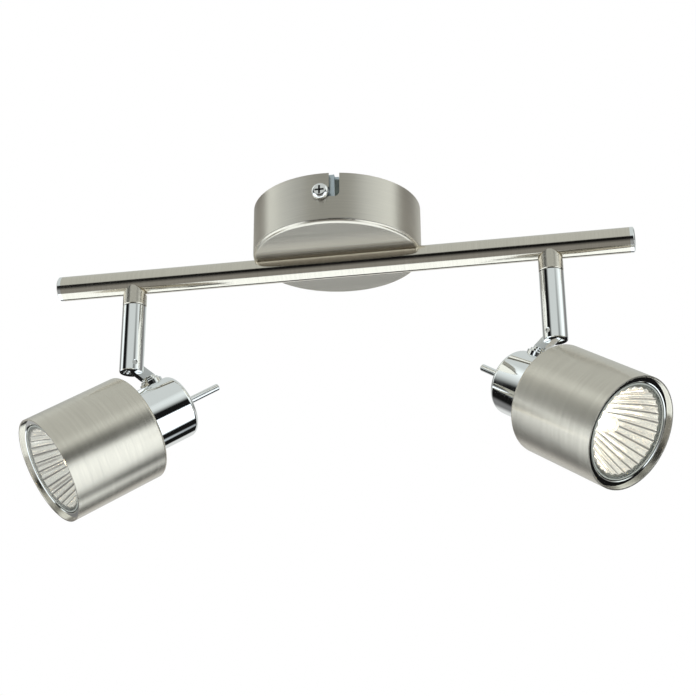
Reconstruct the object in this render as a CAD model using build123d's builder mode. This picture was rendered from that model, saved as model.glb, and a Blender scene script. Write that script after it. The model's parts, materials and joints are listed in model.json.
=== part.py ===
from build123d import *
import os
from math import cos, radians, sin

# Twin spotlight bar for a ceiling. Millimetres, +Z up, origin at the centre of the
# canopy on the ceiling plane, +X along the bar. Everything hangs below z = 0.
os.makedirs("parts", exist_ok=True)

# ---- canopy: a drawn cup that covers the ceiling box ----
canopy_r = 47.0
canopy_h = 29.0
canopy_wall = 1.2
canopy_edge_r = 2.2
slot_w = 5.6
slot_z = -11.2
unlock_deg = 9.0

# ---- mounting bracket: zinc strap with a turned-down tab at each end ----
strap_w = 18.0
strap_t = 1.5
tab_w = 14.0
tab_y = 44.4
tab_drop = 17.0
ceiling_slot_pitch = 50.0
ceiling_slot_w = 5.0
ceiling_slot_len = 16.0
cable_hole_r = 6.0
clamp_screw_r = 2.42
clamp_head_r = 4.6
clamp_head_h = 3.0

# ---- bar ----
bar_r = 7.0
bar_wall = 1.2
bar_z = -32.9
bar_half = 160.5
end_cap_len = 3.0
nipple_r = 5.0
nipple_bore_r = 3.4
nut_af = 14.0

# ---- spots ----
spot_x = 117.5
collar_bottom = -47.8
collar_core_r = 6.0
saddle_relief_r = 8.3
stem_r = 6.7
stem_top = -48.1
stem_bottom = -87.8
stem_bore_r = 4.6
stud_r = 3.0
stud_bore_r = 2.0
pocket_r = 5.4
pivot_z = -83.5
pin_r = 1.5
tongue_t = 4.8
fork_gap = 5.4
tongue_r = 3.4
yaw_deg = 35.0
tilt_deg = 33.0

# ---- head, measured along its own axis from the foot of the pivot, forwards ----
pivot_lift = 32.3
shade_back = 15.5
shade_rim = 71.3
shade_r = 30.0
shade_wall = 1.0
cap_back = -14.5
cap_r = 18.0
cap_wall = 1.2
cap_edge_r = 3.0
spigot_r = 15.5
spigot_front = 21.0
knuckle_x = -5.0
handle_r = 2.0
handle_len = 25.5

# ---- lamp: 50 mm reflector lamp with a twist-lock base ----
lamp_face = shade_rim - 2.2
lamp_r = 25.4
lamp_glass_t = 1.8
lamp_neck_r = 12.0
lamp_neck = lamp_face - 30.0
lamp_base_back = lamp_neck - 13.0
contact_x = 5.0
contact_r = 2.5
contact_neck_r = 1.5
holder_face = lamp_base_back - 0.4
holder_r = 14.0
holder_len = 17.0
plate_t = 2.0
lamp_turn_deg = 20.0
capsule_r = 4.6


def save(builder, label):
    builder.part.label = label
    export_step(builder.part, f"parts/{label}.step")


# ================= mounting bracket =================
with BuildPart() as mounting_bracket:
    with BuildSketch(Plane.XY.offset(-strap_t)):
        Rectangle(strap_w, 2 * (tab_y - 3))
        Rectangle(tab_w, 2 * tab_y)
        with Locations((0, ceiling_slot_pitch / 2), (0, -ceiling_slot_pitch / 2)):
            SlotOverall(ceiling_slot_len, ceiling_slot_w, rotation=90, mode=Mode.SUBTRACT)
        Circle(cable_hole_r, mode=Mode.SUBTRACT)
        with Locations((5.5, 11.5)):
            Circle(2.0, mode=Mode.SUBTRACT)
    extrude(amount=strap_t)
    for end in (1, -1):
        with BuildSketch(Plane.XZ.offset(-end * tab_y)):
            with Locations((0, -tab_drop / 2)):
                RectangleRounded(tab_w, tab_drop, 1.0)
        extrude(amount=end * strap_t)
        with BuildSketch(Plane.XZ.offset(-end * tab_y)):
            with Locations((0, slot_z)):
                Circle(clamp_screw_r)
        extrude(amount=end * 2 * strap_t, both=True, mode=Mode.SUBTRACT)
save(mounting_bracket, "mounting_bracket")

with BuildPart() as earth_screw:
    with BuildSketch(Plane.XY.offset(-strap_t)):
        with Locations((5.5, 11.5)):
            Rectangle(7, 7)
    extrude(amount=-0.8)
    with BuildSketch(Plane.XY.offset(-strap_t - 0.8)):
        with Locations((5.5, 11.5)):
            Circle(3.2)
    extrude(amount=-2.2)
    with BuildSketch(Plane.XY.offset(-strap_t - 3.0)):
        with Locations((5.5, 11.5)):
            Rectangle(6.6, 0.9)
    extrude(amount=0.9, mode=Mode.SUBTRACT)
    with BuildSketch(Plane.XY.offset(-strap_t - 0.8)):
        with Locations((5.5, 11.5)):
            Circle(1.95)
    extrude(amount=strap_t + 0.8)
save(earth_screw, "earth_screw")

# One pan-head screw through each end of the strap clamps the canopy in its J-slot.
seat_y = canopy_r + 0.3
with BuildPart() as canopy_screws:
    with BuildSketch(Plane.XZ.offset(seat_y)):
        with Locations((0, slot_z)):
            Circle(clamp_head_r)
    extrude(amount=clamp_head_h)
    fillet(canopy_screws.edges().filter_by(GeomType.CIRCLE).sort_by(Axis.Y)[0], clamp_head_h - 0.9)
    with BuildSketch(Plane.XZ.offset(seat_y)):
        with Locations((0, slot_z)):
            Circle(clamp_screw_r)
    extrude(amount=39.5 - seat_y)
    with BuildSketch(Plane.XZ.offset(seat_y + clamp_head_h)):
        with Locations((0, slot_z)):
            Rectangle(5.0, 1.1)
            Rectangle(1.1, 5.0)
    extrude(amount=-1.8, mode=Mode.SUBTRACT)
    mirror(about=Plane.XZ)
save(canopy_screws, "canopy_screws")

# ================= canopy =================
with BuildPart() as canopy_cavity:
    with BuildSketch(Plane.XY.offset(1.0)):
        Circle(canopy_r - canopy_wall)
    extrude(amount=-(canopy_h - canopy_wall + 1.0))
    fillet(canopy_cavity.edges().filter_by(GeomType.CIRCLE).sort_by(Axis.Z)[0],
           canopy_edge_r - canopy_wall)
    with BuildSketch(Plane.YZ.offset(-canopy_r)):
        with Locations((0, bar_z)):
            Circle(bar_r + canopy_wall)
    extrude(amount=2 * canopy_r, mode=Mode.SUBTRACT)

with BuildPart() as canopy:
    with BuildSketch():
        Circle(canopy_r)
    extrude(amount=-canopy_h)
    fillet(canopy.edges().filter_by(GeomType.CIRCLE).sort_by(Axis.Z)[0], canopy_edge_r)
    with BuildSketch(Plane.YZ.offset(-canopy_r - 1)):
        with Locations((0, bar_z)):
            Circle(bar_r + 0.02)
    extrude(amount=2 * canopy_r + 2, mode=Mode.SUBTRACT)
    add(canopy_cavity.part, mode=Mode.SUBTRACT)
    # J-slots: a mouth at the rim, then a run along the wall to the clamping seat.
    for turn in (0, 180):
        seat = Plane.XY.rotated((0, 0, turn))
        mouth = Plane.XY.rotated((0, 0, turn + unlock_deg))
        with BuildSketch(Plane(seat.origin, x_dir=seat.x_dir, z_dir=-seat.y_dir).offset(canopy_r - 6)):
            with Locations((0, slot_z)):
                Circle(slot_w / 2)
        extrude(amount=8, mode=Mode.SUBTRACT)
        mouth_face = Plane(mouth.origin, x_dir=mouth.x_dir, z_dir=-mouth.y_dir)
        with BuildSketch(mouth_face.offset(canopy_r - 6)):
            with Locations((0, slot_z / 2)):
                Rectangle(slot_w, -slot_z)
            with Locations((0, slot_z)):
                Circle(slot_w / 2)
        extrude(amount=8, mode=Mode.SUBTRACT)
        with BuildSketch(Plane.XY.offset(slot_z - slot_w / 2)):
            with BuildLine():
                reach = canopy_r + 2
                locked = (reach * sin(radians(turn)), -reach * cos(radians(turn)))
                opened = (reach * sin(radians(turn + unlock_deg)),
                          -reach * cos(radians(turn + unlock_deg)))
                Line((0, 0), locked)
                RadiusArc(locked, opened, -reach)
                Line(opened, (0, 0))
            make_face()
            Circle(canopy_r - 4, mode=Mode.SUBTRACT)
        extrude(amount=slot_w, mode=Mode.SUBTRACT)
    with BuildSketch(Plane.XY.offset(bar_z)):
        Circle(nipple_r + 0.02)
    extrude(amount=12, mode=Mode.SUBTRACT)
save(canopy, "canopy")

# ================= bar and its fixing inside the canopy =================
with BuildPart() as bar_tube:
    with BuildSketch(Plane.YZ.offset(-bar_half)):
        with Locations((0, bar_z)):
            Circle(bar_r)
            Circle(bar_r - bar_wall, mode=Mode.SUBTRACT)
    extrude(amount=2 * bar_half)
    with BuildSketch(Plane.XY.offset(bar_z)):
        Circle(nipple_r + 0.02)
    extrude(amount=bar_r + 1, mode=Mode.SUBTRACT)
    with BuildSketch(Plane.XY.offset(bar_z)):
        with Locations((-spot_x, 0), (spot_x, 0)):
            Circle(stud_r + 0.4)
    extrude(amount=-bar_r - 1, mode=Mode.SUBTRACT)
save(bar_tube, "bar_tube")

for side, hand in (("left", -1), ("right", 1)):
    with BuildPart() as end_cap:
        with BuildSketch(Plane.XY.offset(bar_z)):
            with BuildLine():
                Polyline((hand * (bar_half - 8), 0), (hand * (bar_half - 8), bar_r - bar_wall - 0.02),
                         (hand * bar_half, bar_r - bar_wall - 0.02), (hand * bar_half, bar_r),
                         (hand * (bar_half + end_cap_len - 1.2), bar_r))
                ThreePointArc((hand * (bar_half + end_cap_len - 1.2), bar_r),
                              (hand * (bar_half + end_cap_len - 0.5), bar_r - 1.0),
                              (hand * (bar_half + end_cap_len - 0.3), bar_r - 2.0))
                Line((hand * (bar_half + end_cap_len - 0.3), bar_r - 2.0),
                     (hand * (bar_half + end_cap_len), 0))
                Line((hand * (bar_half + end_cap_len), 0), (hand * (bar_half - 8), 0))
            make_face()
        revolve(axis=Axis((0, 0, bar_z), (1, 0, 0)))
    save(end_cap, f"bar_end_cap_{side}")

with BuildPart() as bar_nipple:
    with BuildSketch(Plane.XY.offset(bar_z)):
        Circle(nipple_r)
        Circle(nipple_bore_r, mode=Mode.SUBTRACT)
    extrude(amount=19)
    with BuildSketch(Plane.YZ.offset(-nipple_r)):
        with Locations((0, bar_z)):
            Circle(bar_r - bar_wall - 1.5)
    extrude(amount=2 * nipple_r, mode=Mode.SUBTRACT)
save(bar_nipple, "bar_nipple")

groove_top = bar_z + bar_r + canopy_wall
saddle_top = groove_top + 2.6
with BuildPart() as saddle_washer:
    with BuildSketch(Plane.XY.offset(-canopy_h + canopy_wall + 0.02)):
        RectangleRounded(22, 20, 3)
        Circle(nipple_r + 0.05, mode=Mode.SUBTRACT)
    extrude(amount=saddle_top + canopy_h - canopy_wall - 0.02)
    with BuildSketch(Plane.YZ.offset(-12)):
        with Locations((0, bar_z)):
            Circle(bar_r + canopy_wall + 0.02)
    extrude(amount=24, mode=Mode.SUBTRACT)
save(saddle_washer, "saddle_washer")

with BuildPart() as bar_nut:
    with BuildSketch(Plane.XY.offset(saddle_top)):
        RegularPolygon(nut_af / 2, 6, major_radius=False)
        Circle(nipple_r + 0.02, mode=Mode.SUBTRACT)
    extrude(amount=4.0)
    chamfer(bar_nut.edges().filter_by(GeomType.LINE).group_by(Axis.Z)[-1], 0.5)
save(bar_nut, "bar_nut")

# Three-way terminal block, screwed to the canopy floor beside the bar.
block_x, block_y, block_w, block_d, block_h = 22.0, 20.0, 24.0, 15.0, 11.0
floor_z = -canopy_h + canopy_wall
way_pitch = 8.0
with BuildPart() as terminal_block:
    with BuildSketch(Plane.XY.offset(floor_z)):
        with Locations((block_x, block_y)):
            RectangleRounded(block_w, block_d, 1.5)
    extrude(amount=3.0)
    for way in (-1, 0, 1):
        with BuildSketch(Plane.XY.offset(floor_z + 3.0)):
            with Locations((block_x + way * way_pitch, block_y)):
                RectangleRounded(6.6, block_d, 1.2)
        extrude(amount=block_h - 3.0)
        with BuildSketch(Plane.XZ.offset(-block_y - block_d / 2 - 1)):
            with Locations((block_x + way * way_pitch, floor_z + 5.0)):
                Circle(1.6)
        extrude(amount=block_d + 2, mode=Mode.SUBTRACT)
        with BuildSketch(Plane.XY.offset(floor_z + 5.0)):
            with Locations((block_x + way * way_pitch, block_y - 3.6),
                           (block_x + way * way_pitch, block_y + 3.6)):
                Circle(1.9)
        extrude(amount=block_h, mode=Mode.SUBTRACT)
save(terminal_block, "terminal_block")

with BuildPart() as terminal_screws:
    with BuildSketch(Plane.XY.offset(floor_z + 6.8)):
        with GridLocations(way_pitch, 7.2, 3, 2):
            with Locations((block_x, block_y)):
                Circle(1.85)
    extrude(amount=3.2)
    with BuildSketch(Plane.XY.offset(floor_z + 9.4)):
        with GridLocations(way_pitch, 7.2, 3, 2):
            with Locations((block_x, block_y)):
                Rectangle(3.9, 0.6)
    extrude(amount=1.0, mode=Mode.SUBTRACT)
save(terminal_screws, "terminal_screws")

# Leads from the nipple to the terminal block, one core per way.
lead_r = 1.1
lead_ring = 1.75
lead_start = bar_z + 6
for way, name in enumerate(("lead_live", "lead_neutral", "lead_earth")):
    exit_x = lead_ring * cos(radians(120 * way))
    exit_y = lead_ring * sin(radians(120 * way))
    crest_z = bar_z + 22.4 + 2.6 * way
    way_x = block_x + (way - 1) * way_pitch
    way_y = block_y - block_d / 2
    with BuildPart() as lead:
        with BuildLine() as route:
            FilletPolyline((exit_x, exit_y, lead_start), (exit_x, exit_y, crest_z),
                           (way_x, way_y - 9, crest_z), (way_x, way_y - 6.5, floor_z + 5.0),
                           (way_x, way_y + 2, floor_z + 5.0), radius=2.4)
        with BuildSketch(Plane((exit_x, exit_y, lead_start), z_dir=(0, 0, 1))):
            Circle(lead_r)
        sweep(path=route.wires()[0])
    save(lead, name)

# ================= the two spots =================
for side, hand in (("left", -1), ("right", 1)):
    yaw = radians(yaw_deg)
    tilt = radians(tilt_deg)
    level = Vector(hand * cos(yaw), -sin(yaw), 0)
    forward = level * cos(tilt) + Vector(0, 0, -sin(tilt))
    upward = level * sin(tilt) + Vector(0, 0, cos(tilt))
    foot = Vector(hand * spot_x, 0, pivot_z) - upward * pivot_lift
    across = forward.cross(upward)
    stem_axis = Axis((hand * spot_x, 0, 0), (0, 0, 1))
    stem_section = Plane((hand * spot_x, 0, 0), x_dir=level, z_dir=level.cross(Vector(0, 0, 1)))
    head_axis = Axis(foot, forward)
    head_section = Plane(foot, x_dir=forward, z_dir=across)

    def facing(distance, start=foot, normal=forward, right=across):
        """Plane square to the head's axis, at a distance forward of the foot."""
        return Plane(start + normal * distance, x_dir=right, z_dir=normal)

    # ---- collar, brazed under the bar; its skin stops short of the bar all round ----
    with BuildPart() as saddle_relief:
        with BuildSketch(Plane.XY.offset(bar_z - 12)):
            with Locations((hand * spot_x, 0)):
                Circle(stem_r + 1)
                Circle(collar_core_r, mode=Mode.SUBTRACT)
        extrude(amount=12)
        with BuildSketch(Plane.YZ.offset(hand * spot_x - stem_r - 2)):
            with Locations((0, bar_z)):
                Circle(saddle_relief_r)
        extrude(amount=2 * stem_r + 4, mode=Mode.INTERSECT)

    with BuildPart() as collar:
        with BuildSketch(Plane.XY.offset(collar_bottom)):
            with Locations((hand * spot_x, 0)):
                Circle(stem_r)
        extrude(amount=bar_z - collar_bottom)
        chamfer(collar.edges().filter_by(GeomType.CIRCLE).sort_by(Axis.Z)[0], 0.4)
        with BuildSketch(Plane.YZ.offset(hand * spot_x - stem_r - 1)):
            with Locations((0, bar_z)):
                Circle(bar_r + 0.01)
        extrude(amount=2 * stem_r + 2, mode=Mode.SUBTRACT)
        add(saddle_relief.part, mode=Mode.SUBTRACT)
        with BuildSketch(Plane.XY.offset(collar_bottom + 2)):
            with Locations((hand * spot_x, 0)):
                Circle(pocket_r)
        extrude(amount=10, mode=Mode.SUBTRACT)
        with BuildSketch(Plane.XY.offset(collar_bottom)):
            with Locations((hand * spot_x, 0)):
                Circle(stud_r + 0.08)
        extrude(amount=3, mode=Mode.SUBTRACT)
    save(collar, f"collar_{side}")

    with BuildPart() as friction_washer:
        with BuildSketch(Plane.XY.offset(collar_bottom + 2)):
            with Locations((hand * spot_x, 0)):
                Circle(pocket_r - 0.3)
                Circle(stud_r + 0.3, mode=Mode.SUBTRACT)
        extrude(amount=0.5)
    save(friction_washer, f"friction_washer_{side}")

    # ---- stem: a tube, closed at the top and forked at the bottom ----
    with BuildPart() as stem:
        with BuildSketch(Plane.XY.offset(stem_bottom)):
            with Locations((hand * spot_x, 0)):
                Circle(stem_r)
        extrude(amount=stem_top - stem_bottom)
        chamfer(stem.edges().filter_by(GeomType.CIRCLE), 0.35)
        with BuildSketch(Plane.XY.offset(pivot_z + 10)):
            with Locations((hand * spot_x, 0)):
                Circle(stem_bore_r)
        extrude(amount=stem_top - 4 - (pivot_z + 10), mode=Mode.SUBTRACT)
        with BuildSketch(Plane.XY.offset(pivot_z)):
            with Locations((hand * spot_x, 0)):
                Circle(stud_r + 0.01)
        extrude(amount=stem_top - pivot_z + 1, mode=Mode.SUBTRACT)
        with BuildSketch(stem_section):
            with Locations(((tongue_r + 0.4 - stem_r - 1) / 2, (stem_bottom + pivot_z + 6.5) / 2)):
                Rectangle(stem_r + 1 + tongue_r + 0.4, pivot_z + 6.5 - stem_bottom + 0.02)
        extrude(amount=fork_gap / 2, both=True, mode=Mode.SUBTRACT)
        with BuildSketch(stem_section.offset(-hand * 4.7)):
            with Locations((0, pivot_z)):
                Circle(pin_r + 0.01)
        extrude(amount=hand * 12, mode=Mode.SUBTRACT)
    save(stem, f"stem_{side}")

    with BuildPart() as swivel_stud:
        with BuildSketch(Plane.XY.offset(stem_top - 4)):
            with Locations((hand * spot_x, 0)):
                Circle(stud_r)
                Circle(stud_bore_r, mode=Mode.SUBTRACT)
        extrude(amount=bar_z - 7.6 - stem_top + 4)
    save(swivel_stud, f"swivel_stud_{side}")

    with BuildPart() as swivel_nut:
        with BuildSketch(Plane.XY.offset(collar_bottom + 2.6)):
            with Locations((hand * spot_x, 0)):
                RegularPolygon(4.3, 6, major_radius=False)
                Circle(stud_r + 0.01, mode=Mode.SUBTRACT)
        extrude(amount=2.4)
    save(swivel_nut, f"swivel_nut_{side}")

    with BuildPart() as pivot_pin:
        with BuildSketch(stem_section.offset(-hand * 4.6)):
            with Locations((0, pivot_z)):
                Circle(pin_r)
        extrude(amount=hand * 10.6)
    save(pivot_pin, f"pivot_pin_{side}")

    # ---- knuckle: stepped round base on the cap and a tongue up into the fork ----
    base_top = cap_r + 4.2
    with BuildPart() as knuckle:
        base_plane = Plane(foot + forward * knuckle_x + upward * (cap_r - 1.5),
                           x_dir=forward, z_dir=upward)
        for ring_r, ring_top in ((6.6, 1.6), (5.3, 2.9), (4.2, 4.2)):
            with BuildSketch(base_plane):
                Circle(ring_r)
            extrude(amount=ring_top + 1.5)
        chamfer(knuckle.edges().filter_by(GeomType.CIRCLE).filter_by(lambda e: e.radius > 4 and
                (e.center() - foot).dot(upward) > cap_r + 1), 0.3)
        with BuildSketch(head_section):
            with BuildLine():
                Polyline((knuckle_x - 3.6, base_top - 0.5), (knuckle_x + 3.6, base_top - 0.5),
                         (tongue_r, pivot_lift), (-tongue_r, pivot_lift), close=True)
            make_face()
            with Locations((0, pivot_lift)):
                Circle(tongue_r)
        extrude(amount=tongue_t / 2, both=True)
        with BuildSketch(head_section):
            with Locations((0, pivot_lift)):
                Circle(pin_r + 0.06)
        extrude(amount=tongue_t, both=True, mode=Mode.SUBTRACT)
        with BuildSketch(facing(knuckle_x - 8)):
            Circle(cap_r + 0.01)
        extrude(amount=16, mode=Mode.SUBTRACT)
        with BuildSketch(base_plane):
            Circle(1.7)
        extrude(amount=1.5 + 4.5, mode=Mode.SUBTRACT)
    save(knuckle, f"knuckle_{side}")

    with BuildPart() as knuckle_screw:
        under_cap = foot + forward * knuckle_x + upward * (cap_r - cap_wall)
        with BuildSketch(Plane(under_cap - upward * 3.2, x_dir=forward, z_dir=upward)):
            Circle(3.2)
        extrude(amount=2.8)
        with BuildSketch(Plane(under_cap - upward * 1.0, x_dir=forward, z_dir=upward)):
            Circle(1.65)
        extrude(amount=cap_wall + 5.0)
    save(knuckle_screw, f"knuckle_screw_{side}")

    # ---- holder cap: chromed cup behind the shade ----
    with BuildPart() as holder_cap:
        with BuildSketch(head_section):
            with BuildLine():
                Polyline((spigot_front, spigot_r - cap_wall), (spigot_front, spigot_r),
                         (shade_back, spigot_r), (shade_back, cap_r), (cap_back + cap_edge_r, cap_r))
                RadiusArc((cap_back + cap_edge_r, cap_r), (cap_back, cap_r - cap_edge_r), -cap_edge_r)
                Polyline((cap_back, cap_r - cap_edge_r), (cap_back, 0), (cap_back + cap_wall, 0),
                         (cap_back + cap_wall, cap_r - cap_edge_r))
                RadiusArc((cap_back + cap_wall, cap_r - cap_edge_r),
                          (cap_back + cap_edge_r, cap_r - cap_wall), cap_edge_r - cap_wall)
                Polyline((cap_back + cap_edge_r, cap_r - cap_wall),
                         (shade_back - cap_wall, cap_r - cap_wall),
                         (shade_back - cap_wall, spigot_r - cap_wall),
                         (spigot_front, spigot_r - cap_wall))
            make_face()
        revolve(axis=head_axis)
        with BuildSketch(facing(cap_back - 1)):
            Circle(handle_r - 0.28)
            with Locations((0, 10), (0, -10)):
                Circle(1.25)
        extrude(amount=4, mode=Mode.SUBTRACT)
        with BuildSketch(Plane(foot + forward * knuckle_x, x_dir=forward, z_dir=upward)):
            Circle(1.7)
        extrude(amount=cap_r + 2, mode=Mode.SUBTRACT)
    save(holder_cap, f"holder_cap_{side}")

    with BuildPart() as handle_pin:
        with BuildSketch(head_section):
            with BuildLine():
                Polyline((cap_back - 0.02, 0), (cap_back - 0.02, handle_r),
                         (cap_back - handle_len + 0.5, handle_r),
                         (cap_back - handle_len, handle_r - 0.5),
                         (cap_back - handle_len, 0), close=True)
            make_face()
            with Locations(((2 * cap_back + cap_wall + 3.2) / 2 - 0.02, (handle_r - 0.3) / 2)):
                Rectangle(cap_wall + 3.2, handle_r - 0.3)
        revolve(axis=head_axis)
    save(handle_pin, f"handle_pin_{side}")

    with BuildPart() as handle_nut:
        with BuildSketch(facing(cap_back + cap_wall)):
            RegularPolygon(3.5, 6, major_radius=False)
            Circle(handle_r - 0.29, mode=Mode.SUBTRACT)
        extrude(amount=2.6)
    save(handle_nut, f"handle_nut_{side}")

    # ---- shade ----
    with BuildPart() as shade:
        with BuildSketch(head_section):
            with BuildLine():
                Polyline((shade_rim, shade_r - shade_wall), (shade_rim, shade_r),
                         (shade_back + 1.6, shade_r))
                RadiusArc((shade_back + 1.6, shade_r), (shade_back, shade_r - 1.6), -1.6)
                Polyline((shade_back, shade_r - 1.6), (shade_back, spigot_r + 0.1),
                         (shade_back + shade_wall, spigot_r + 0.1),
                         (shade_back + shade_wall, shade_r - 1.6))
                RadiusArc((shade_back + shade_wall, shade_r - 1.6),
                          (shade_back + 1.6, shade_r - shade_wall), 0.6)
                Line((shade_back + 1.6, shade_r - shade_wall), (shade_rim, shade_r - shade_wall))
            make_face()
        revolve(axis=head_axis)
        chamfer(shade.edges().filter_by(GeomType.CIRCLE).sort_by(head_axis)[-1], 0.25)
    save(shade, f"shade_{side}")

    with BuildPart() as shade_nut:
        with BuildSketch(facing(shade_back + shade_wall)):
            Circle(spigot_r + 3.5)
            Circle(spigot_r + 0.02, mode=Mode.SUBTRACT)
        extrude(amount=3.0)
    save(shade_nut, f"shade_ring_nut_{side}")

    with BuildPart() as retaining_ring:
        with BuildSketch(head_section):
            with BuildLine():
                ring_x = shade_rim - 1.8
                Polyline((ring_x, lamp_r + 0.9), (ring_x, shade_r - shade_wall - 0.02),
                         (ring_x - 2.4, shade_r - shade_wall - 0.02),
                         (ring_x - 2.4, shade_r - shade_wall - 1.0),
                         (ring_x - 1.0, shade_r - shade_wall - 1.0),
                         (ring_x - 1.0, lamp_r + 0.5), (ring_x - 0.3, lamp_r + 0.5), close=True)
            make_face()
        revolve(axis=head_axis)
    save(retaining_ring, f"retaining_ring_{side}")

    # ---- lamp holder: ceramic disc with two twist-lock slots ----
    with BuildPart() as lamp_holder:
        with BuildSketch(facing(holder_face - holder_len)):
            Circle(holder_r)
        extrude(amount=holder_len)
        chamfer(lamp_holder.edges().filter_by(GeomType.CIRCLE), 0.6)
        with BuildSketch(facing(holder_face - plate_t - 6.0)):
            Circle(8.6)
        extrude(amount=6.0, mode=Mode.SUBTRACT)
        with BuildSketch(facing(holder_face - plate_t - 1)):
            for turn in (0, 180):
                SlotArc(CenterArc((0, 0), contact_x, turn, lamp_turn_deg + 1), 2 * contact_neck_r + 0.7)
                with Locations((contact_x * cos(radians(turn)), contact_x * sin(radians(turn)))):
                    Circle(contact_neck_r + 0.35)
                with Locations((contact_x * cos(radians(turn + lamp_turn_deg)),
                                contact_x * sin(radians(turn + lamp_turn_deg)))):
                    Circle(contact_r + 0.35)
        extrude(amount=plate_t + 2, mode=Mode.SUBTRACT)
        with BuildSketch(facing(holder_face - holder_len - 1)):
            with Locations((0, 10), (0, -10)):
                Circle(1.6)
        extrude(amount=holder_len + 2, mode=Mode.SUBTRACT)
    save(lamp_holder, f"lamp_holder_{side}")

    with BuildPart() as holder_screws:
        with BuildSketch(facing(cap_back)):
            with Locations((0, 10), (0, -10)):
                Circle(1.2)
        extrude(amount=holder_face - cap_back)
        with BuildSketch(facing(holder_face)):
            with Locations((0, 10), (0, -10)):
                Circle(1.3)
        extrude(amount=0.2)
    save(holder_screws, f"holder_screws_{side}")

    # ---- lamp ----
    with BuildPart() as lamp_reflector:
        with BuildSketch(head_section):
            with BuildLine():
                Polyline((lamp_face, lamp_r - 0.7), (lamp_face, lamp_r), (lamp_face - 3.5, lamp_r))
                ThreePointArc((lamp_face - 3.5, lamp_r), (lamp_face - 19.0, lamp_r - 5.2),
                              (lamp_neck, lamp_neck_r))
                Line((lamp_neck, lamp_neck_r), (lamp_neck, lamp_neck_r - 4.0))
                ThreePointArc((lamp_neck, lamp_neck_r - 4.0), (lamp_face - 17.0, lamp_r - 7.2),
                              (lamp_face - lamp_glass_t, lamp_r - 1.4))
                Polyline((lamp_face - lamp_glass_t, lamp_r - 1.4),
                         (lamp_face - lamp_glass_t, lamp_r - 0.7), (lamp_face, lamp_r - 0.7))
            make_face()
        revolve(axis=head_axis)
    save(lamp_reflector, f"lamp_reflector_{side}")

    with BuildPart() as lamp_glass:
        with BuildSketch(facing(lamp_face - lamp_glass_t)):
            Circle(lamp_r - 0.75)
        extrude(amount=lamp_glass_t)
    save(lamp_glass, f"lamp_glass_{side}")

    with BuildPart() as lamp_capsule:
        with BuildSketch(head_section):
            with BuildLine():
                tip = lamp_face - 9.0
                Polyline((lamp_neck - 2.0, 0), (lamp_neck - 2.0, 3.2), (lamp_neck + 5.0, 3.2),
                         (lamp_neck + 7.0, capsule_r), (tip - capsule_r, capsule_r))
                CenterArc((tip - capsule_r, 0), capsule_r, 0, 90)
                Line((tip, 0), (lamp_neck - 2.0, 0))
            make_face()
        revolve(axis=head_axis)
    save(lamp_capsule, f"lamp_capsule_{side}")

    with BuildPart() as lamp_base:
        with BuildSketch(facing(lamp_neck)):
            Circle(lamp_neck_r)
        with BuildSketch(facing(lamp_base_back)):
            RectangleRounded(22, 17, 5)
        loft()
        with BuildSketch(facing(lamp_neck - 2.02)):
            Circle(3.25)
        extrude(amount=3, mode=Mode.SUBTRACT)
    save(lamp_base, f"lamp_base_{side}")

    with BuildPart() as lamp_contacts:
        with BuildSketch(facing(lamp_base_back)):
            with Locations((contact_x, 0), (-contact_x, 0)):
                Circle(contact_neck_r)
        extrude(amount=-(plate_t + 1.2))
        with BuildSketch(facing(lamp_base_back - plate_t - 1.2)):
            with Locations((contact_x, 0), (-contact_x, 0)):
                Circle(contact_r)
        extrude(amount=-3.0)
    save(lamp_contacts, f"lamp_contacts_{side}")
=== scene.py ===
import json
from math import cos, pi, radians, sin, sqrt

import bmesh
import bpy
from mathutils import Matrix, Vector


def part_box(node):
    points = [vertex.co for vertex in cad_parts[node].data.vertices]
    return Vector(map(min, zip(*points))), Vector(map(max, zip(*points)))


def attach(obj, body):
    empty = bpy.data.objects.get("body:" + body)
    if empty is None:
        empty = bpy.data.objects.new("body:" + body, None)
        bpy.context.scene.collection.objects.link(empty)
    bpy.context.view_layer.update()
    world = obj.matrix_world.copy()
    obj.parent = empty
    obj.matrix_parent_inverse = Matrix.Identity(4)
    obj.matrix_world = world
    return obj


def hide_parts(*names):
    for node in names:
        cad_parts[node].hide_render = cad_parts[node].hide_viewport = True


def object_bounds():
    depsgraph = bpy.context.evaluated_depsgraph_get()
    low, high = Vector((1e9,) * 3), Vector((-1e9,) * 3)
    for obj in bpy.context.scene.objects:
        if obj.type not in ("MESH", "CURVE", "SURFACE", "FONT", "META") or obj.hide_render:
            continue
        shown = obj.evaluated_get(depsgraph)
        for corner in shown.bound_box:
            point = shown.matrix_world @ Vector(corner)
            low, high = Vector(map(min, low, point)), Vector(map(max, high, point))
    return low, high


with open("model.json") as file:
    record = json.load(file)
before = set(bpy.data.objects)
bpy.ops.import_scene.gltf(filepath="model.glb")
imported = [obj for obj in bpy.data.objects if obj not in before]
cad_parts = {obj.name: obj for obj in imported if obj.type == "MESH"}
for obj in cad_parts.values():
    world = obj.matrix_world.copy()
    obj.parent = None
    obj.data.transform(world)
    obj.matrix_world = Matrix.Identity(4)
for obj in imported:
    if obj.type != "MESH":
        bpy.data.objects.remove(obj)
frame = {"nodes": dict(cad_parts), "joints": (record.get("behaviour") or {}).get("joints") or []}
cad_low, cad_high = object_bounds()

bl_info = {
    "name": "Twin Spot Bar",
    "version": (1, 0, 0),
    "blender": (4, 5, 0),
    "location": "3D View > Sidebar > Twin Spot",
    "description": "Finishes, lamps and small parts of a two-lamp ceiling spotlight bar",
    "category": "Object",
}

SIDES = ("left", "right")
Z_AXIS = Vector((0, 0, 1))

# ---- finishes that stay the same, with lengths in metres ----

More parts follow.
